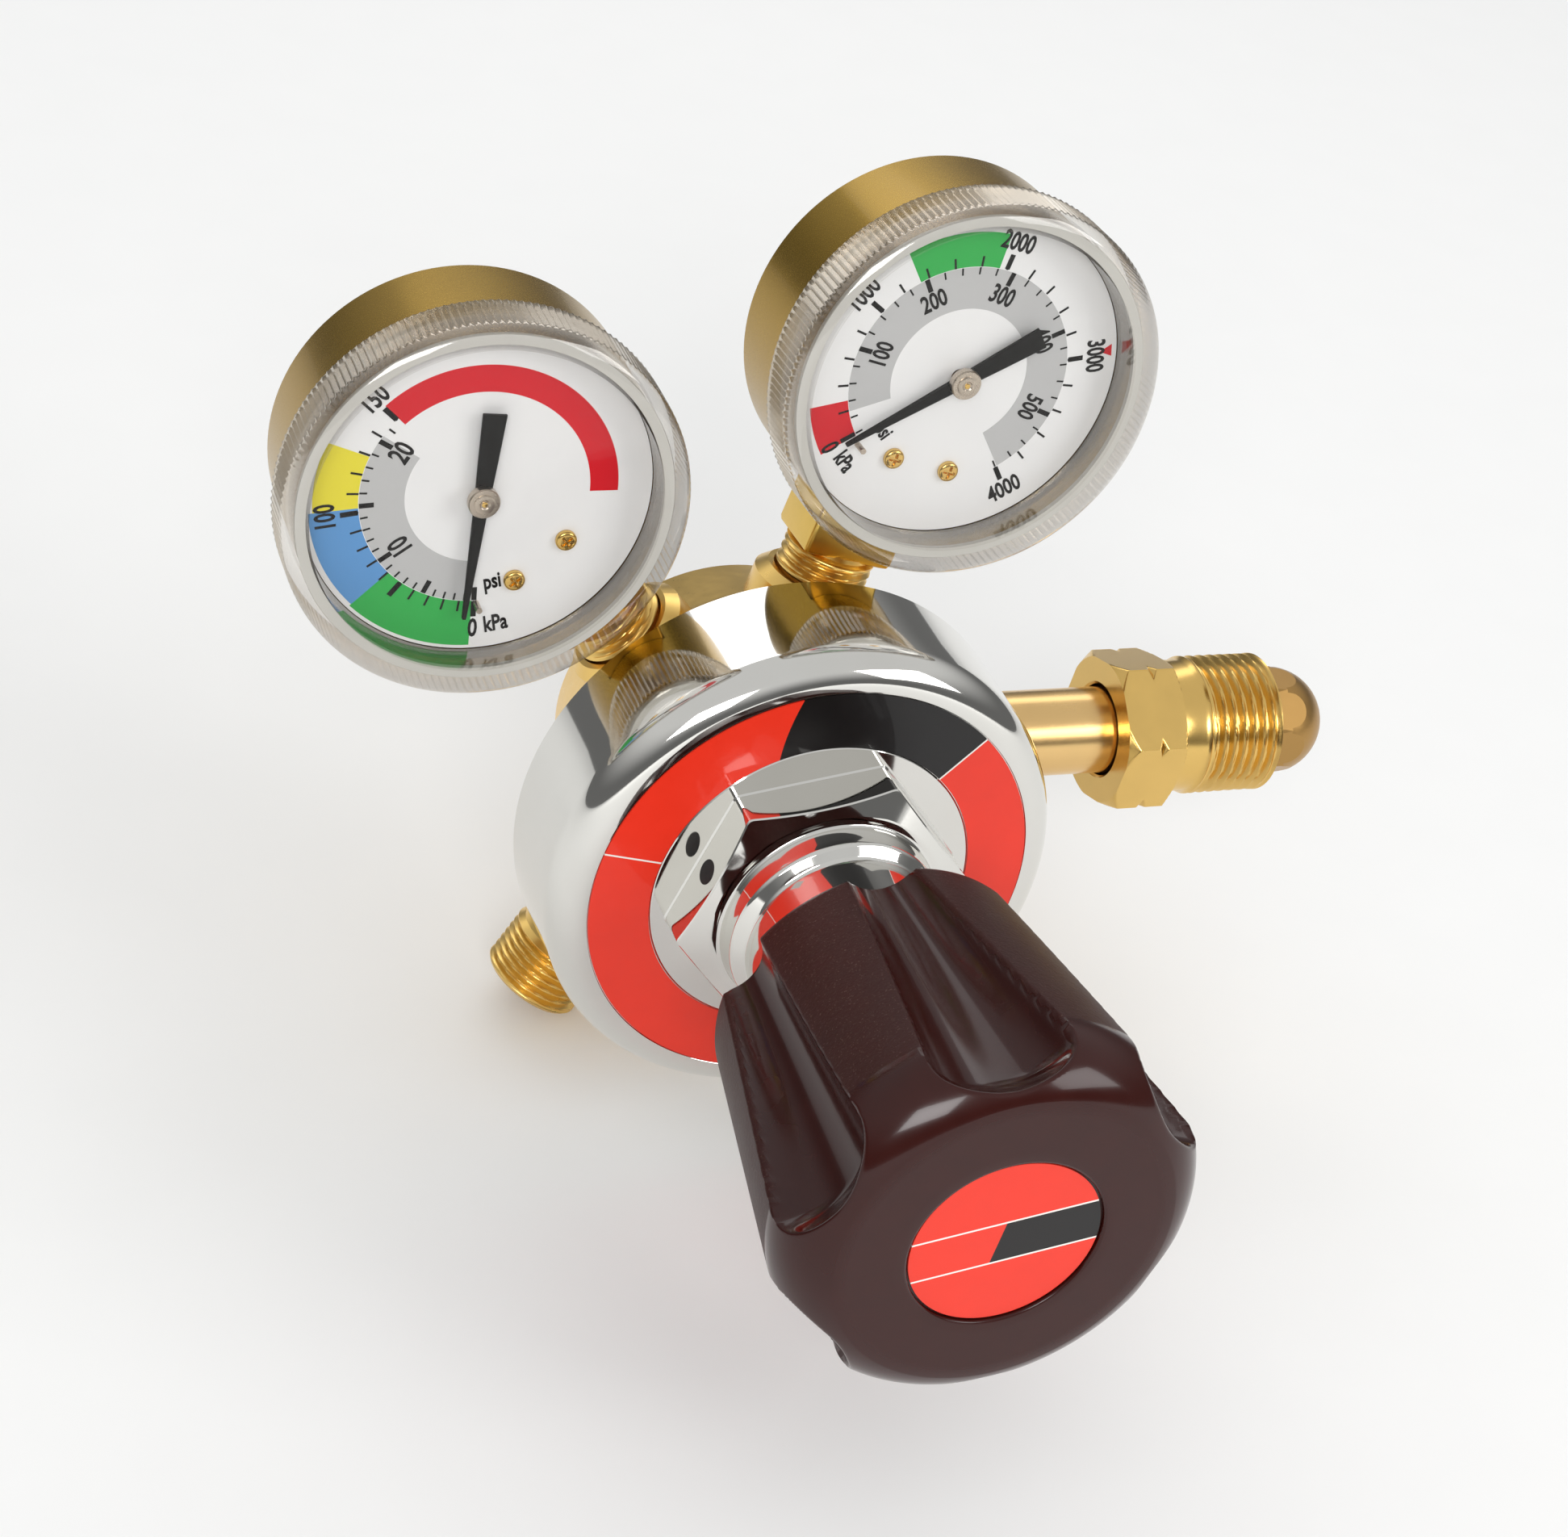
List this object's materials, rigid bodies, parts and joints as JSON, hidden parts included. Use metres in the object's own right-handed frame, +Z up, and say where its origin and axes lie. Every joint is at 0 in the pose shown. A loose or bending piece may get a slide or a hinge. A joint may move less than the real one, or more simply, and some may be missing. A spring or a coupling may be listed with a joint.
{
  "type": "gas regulator",
  "caption": "Single-stage cylinder gas regulator with a fluted adjusting knob, chromed bonnet, two dial gauges, a bullnose inlet with union nut and a threaded outlet.",
  "frame": {"origin": "centre of the inlet nut's thread, on the inlet's axis", "axes": "+X out of the inlet, +Z up, the adjusting knob faces -Y"},
  "size_m": [0.1842, 0.1362, 0.1531],
  "materials": {
    "brass": "forged and machined brass, warm satin with fine turning marks",
    "nose_brass": "darker brass, smooth",
    "chrome": "bright mirror chrome plating",
    "knob_plastic": "dark maroon moulded plastic, glossy flutes and fine-grained ridges",
    "label_film": "red and black printed film with thin white lines",
    "case_paint": "glossy gold paint on drawn steel",
    "clear_plastic": "clear polycarbonate with a ribbed skirt",
    "dial_white": "matt pale grey-white printed dial",
    "pointer_black": "satin black",
    "nickel": "nickel-plated, finely turned",
    "steel": "plain steel",
    "spring_steel": "oiled spring steel",
    "rubber": "black fabric-reinforced rubber",
    "seat_plastic": "white valve seat plastic",
    "filter_bronze": "sintered bronze"
  },
  "bodies": {
    "root": {"regulator_body": "brass", "bonnet": "chrome", "bonnet_label": "label_film", "diaphragm": "rubber", "slip_ring": "steel", "adjusting_spring": "spring_steel", "seat_nozzle": "brass", "valve_spring": "spring_steel", "valve_cap": "brass", "valve_cap_seal": "rubber", "inlet_tube": "brass", "inlet_nipple": "nose_brass", "inlet_filter": "filter_bronze", "outlet_connector": "brass", "contents_case": "case_paint", "contents_socket": "brass", "contents_bourdon_tube": "brass", "contents_movement_frame": "brass", "contents_hairspring": "brass", "contents_dial": "dial_white", "contents_dial_screws": "brass", "contents_stop_pin": "nickel", "contents_lens": "clear_plastic", "contents_lens_gasket": "rubber", "working_case": "case_paint", "working_socket": "brass", "working_bourdon_tube": "brass", "working_movement_frame": "brass", "working_hairspring": "brass", "working_dial": "dial_white", "working_dial_screws": "brass", "working_stop_pin": "nickel", "working_lens": "clear_plastic", "working_lens_gasket": "rubber"},
    "spring_button": {"spring_button": "steel"},
    "control_knob": {"adjusting_screw": "steel", "knob": "knob_plastic", "knob_screw": "steel", "knob_label": "label_film"},
    "diaphragm_centre": {"diaphragm_plate": "steel", "diaphragm_pusher": "brass"},
    "valve": {"valve_pin": "steel", "valve_poppet": "brass", "valve_seat": "seat_plastic"},
    "union_nut": {"inlet_nut": "brass"},
    "contents_needle": {"contents_pinion_arbor": "brass", "contents_pointer": "pointer_black"},
    "contents_sector": {"contents_sector_gear": "brass"},
    "contents_link": {"contents_tube_link": "brass"},
    "working_needle": {"working_pinion_arbor": "brass", "working_pointer": "pointer_black"},
    "working_sector": {"working_sector_gear": "brass"},
    "working_link": {"working_tube_link": "brass"}
  },
  "joints": [
    {"name": "spring_button_travel", "type": "slide", "parent": "root", "child": "spring_button", "axis": [0, 1, 0], "range_m": [0, 0.006], "deforming": ["adjusting_spring"]},
    {"name": "knob_turn", "type": "hinge", "parent": "spring_button", "child": "control_knob", "pos_m": [-0.0854, -0.063, 0], "axis": [0, 1, 0], "range_deg": [0, 1440]},
    {"name": "diaphragm_travel", "type": "slide", "parent": "root", "child": "diaphragm_centre", "axis": [0, 1, 0], "range_m": [0, 0.0008], "stiffness_N_per_m": 1500, "springref_m": -0.0005, "deforming": ["diaphragm", "adjusting_spring"]},
    {"name": "valve_travel", "type": "slide", "parent": "root", "child": "valve", "axis": [0, 1, 0], "range_m": [0, 0.0008], "deforming": ["valve_spring"]},
    {"name": "inlet_nut_swivel", "type": "hinge", "parent": "root", "child": "union_nut", "pos_m": [0, 0, 0], "axis": [1, 0, 0], "continuous": true},
    {"name": "contents_pointer_turn", "type": "hinge", "parent": "root", "child": "contents_needle", "pos_m": [-0.06671, -0.0114, 0.07229], "axis": [-0.0133, 0.9986, -0.0515], "range_deg": [0, 270], "stiffness_Nm_per_rad": 0.00001, "springref_deg": -11.46},
    {"name": "contents_sector_turn", "type": "hinge", "parent": "root", "child": "contents_sector", "pos_m": [-0.06933, -0.00735, 0.06214], "axis": [-0.0133, 0.9986, -0.0515], "range_deg": [-37.5, 0]},
    {"name": "contents_link_turn", "type": "hinge", "parent": "contents_sector", "child": "contents_link", "pos_m": [-0.0651, -0.00637, 0.06059], "axis": [-0.0133, 0.9986, -0.0515], "range_deg": [0, 37.5]},
    {"name": "working_pointer_turn", "type": "hinge", "parent": "root", "child": "working_needle", "pos_m": [-0.13632, -0.0114, 0.05461], "axis": [0.0363, 0.9986, -0.0389], "range_deg": [0, 270], "stiffness_Nm_per_rad": 0.00001, "springref_deg": -11.46},
    {"name": "working_sector_turn", "type": "hinge", "parent": "root", "child": "working_sector", "pos_m": [-0.12917, -0.00735, 0.04694], "axis": [0.0363, 0.9986, -0.0389], "range_deg": [-37.5, 0]},
    {"name": "working_link_turn", "type": "hinge", "parent": "working_sector", "child": "working_link", "pos_m": [-0.12559, -0.00637, 0.04967], "axis": [0.0363, 0.9986, -0.0389], "range_deg": [0, 37.5]}
  ],
  "couplings": [
    {"joint": "spring_button_travel", "follows": "knob_turn", "m_per_rad": 0.00023873},
    {"joint": "valve_travel", "follows": "diaphragm_travel", "ratio": 1},
    {"joint": "contents_sector_turn", "follows": "contents_pointer_turn", "ratio": -0.13889},
    {"joint": "contents_link_turn", "follows": "contents_pointer_turn", "ratio": 0.13889},
    {"joint": "working_sector_turn", "follows": "working_pointer_turn", "ratio": -0.13889},
    {"joint": "working_link_turn", "follows": "working_pointer_turn", "ratio": 0.13889}
  ]
}
